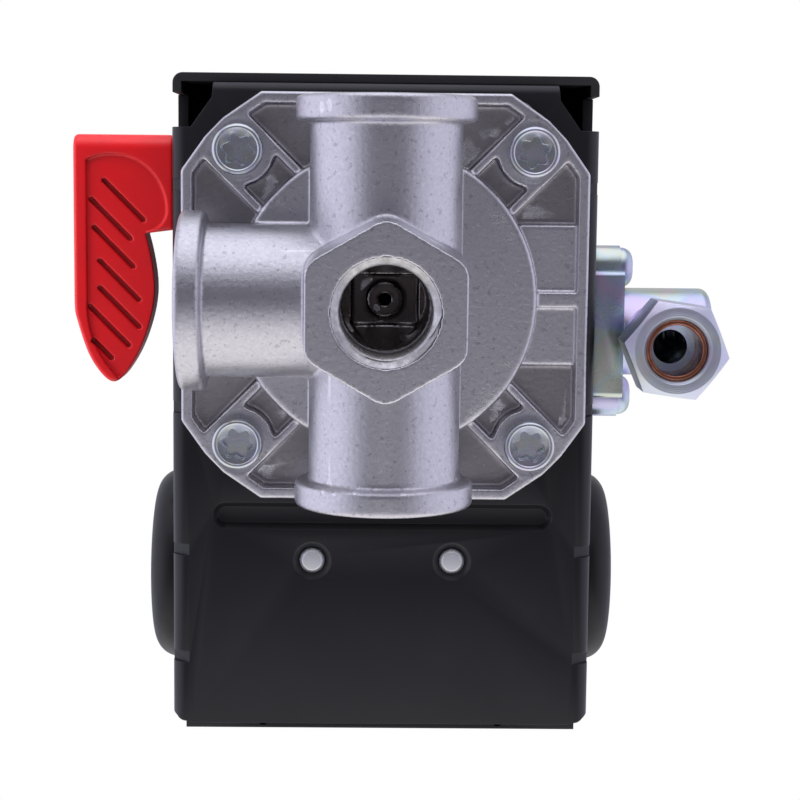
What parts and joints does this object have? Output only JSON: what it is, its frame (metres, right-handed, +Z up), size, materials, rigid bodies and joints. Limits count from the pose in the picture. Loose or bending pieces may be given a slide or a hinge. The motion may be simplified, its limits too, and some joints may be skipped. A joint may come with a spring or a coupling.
{
  "type": "pressure switch",
  "caption": "Air-compressor pressure switch: cast manifold with threaded ports under a covered switch box, off lever, unloader valve and conduit bushings.",
  "frame": {"origin": "centre of the mouth of the hexagonal inlet port, on the port's axis", "axes": "+Z runs up the inlet port's axis into the switch box; +X is the unloader valve's side and -X the off lever's; -Y is the front, where the front port points"},
  "size_m": [0.0924, 0.0927, 0.0984],
  "materials": {
    "cast_aluminium": "tumbled die casting, bright and slightly pitted",
    "zinc_passivate": "zinc plated steel with a pale iridescent passivate",
    "zinc_screw": "bright zinc plated steel",
    "black_steel": "satin black powder coat on pressed steel",
    "black_cover": "fine-grained black moulding",
    "red_lever": "satin red moulded plastic",
    "black_rubber": "semi-gloss black moulded bushing",
    "diaphragm_rubber": "black nitrile sheet",
    "copper": "bright copper, slightly tarnished inside",
    "spring_steel": "oiled spring wire",
    "pressed_steel": "zinc plated pressed steel",
    "brass": "stamped brass",
    "contact_silver": "silver contact rivet",
    "phenolic": "black phenolic moulding",
    "white_plastic": "natural white nylon",
    "gasket": "grey fibre gasket",
    "label": "blank printed label film"
  },
  "bodies": {
    "switch": {"manifold": "cast_aluminium", "manifold_screws": "zinc_screw", "diaphragm": "diaphragm_rubber", "base_frame": "black_steel", "left_wall": "black_steel", "right_wall": "black_steel", "ground_screw": "zinc_screw", "cover_posts": "pressed_steel", "left_bushing": "black_rubber", "right_bushing": "black_rubber", "bushing_nuts": "black_rubber", "unloader_gasket": "gasket", "unloader_body": "zinc_passivate", "unloader_screws": "zinc_passivate", "valve_spring": "spring_steel", "tube_sleeve": "copper", "pivot_bracket": "pressed_steel", "pivot_pin": "pressed_steel", "spring_studs": "zinc_screw", "range_spring": "spring_steel", "difference_spring": "spring_steel", "spring_seats": "pressed_steel", "contact_block": "phenolic", "block_screws": "zinc_screw", "terminal_plates": "brass", "fixed_contacts": "contact_silver", "terminal_washers": "zinc_screw", "terminal_screws": "zinc_screw"},
    "cover": {"cover": "black_cover", "cover_label": "label", "cover_screws": "zinc_screw"},
    "lever": {"off_lever": "red_lever", "lever_shaft": "pressed_steel", "lever_cam": "white_plastic", "lever_ring": "spring_steel"},
    "piston": {"piston": "cast_aluminium"},
    "plate": {"pressure_plate": "pressed_steel"},
    "carrier": {"contact_carrier": "white_plastic", "contact_bridges": "brass", "bridge_springs": "spring_steel"},
    "stem": {"unloader_stem": "brass"},
    "range_nut": {"range_nut": "zinc_screw"},
    "difference_nut": {"difference_nut": "zinc_screw"},
    "compression_nut": {"compression_nut": "zinc_passivate"}
  },
  "joints": [
    {"name": "cover_lift", "type": "slide", "parent": "switch", "child": "cover", "axis": [0, 0, 1], "range_m": [0, 0.07]},
    {"name": "off_lever_turn", "type": "hinge", "parent": "switch", "child": "lever", "pos_m": [-0.0295, -0.0152, 0.052], "axis": [1, 0, 0], "range_deg": [0, 40]},
    {"name": "piston_stroke", "type": "slide", "parent": "switch", "child": "piston", "axis": [0, 0, 1], "range_m": [0, 0.00075]},
    {"name": "plate_hinge", "type": "hinge", "parent": "switch", "child": "plate", "pos_m": [0, -0.021, 0.047], "axis": [1, 0, 0], "range_deg": [0, 2.1], "deforming": ["range_spring", "difference_spring"]},
    {"name": "carrier_stroke", "type": "slide", "parent": "switch", "child": "carrier", "axis": [0, 0, 1], "range_m": [0, 0.0019]},
    {"name": "stem_stroke", "type": "slide", "parent": "switch", "child": "stem", "axis": [1, 0, 0], "range_m": [0, 0.0016]},
    {"name": "range_nut_turn", "type": "hinge", "parent": "switch", "child": "range_nut", "pos_m": [-0.007, 0.0165, 0.07], "axis": [0, 0, 1], "continuous": true},
    {"name": "difference_nut_turn", "type": "hinge", "parent": "switch", "child": "difference_nut", "pos_m": [0.009, 0.0165, 0.07], "axis": [0, 0, 1], "continuous": true},
    {"name": "compression_nut_turn", "type": "hinge", "parent": "switch", "child": "compression_nut", "pos_m": [0.0402, 0.0069, 0.033], "axis": [0, 0, 1], "continuous": true}
  ],
  "couplings": [
    {"joint": "plate_hinge", "follows": "piston_stroke", "rad_per_m": 47.619},
    {"joint": "carrier_stroke", "follows": "piston_stroke", "ratio": 2.476},
    {"joint": "stem_stroke", "follows": "piston_stroke", "ratio": 2}
  ]
}
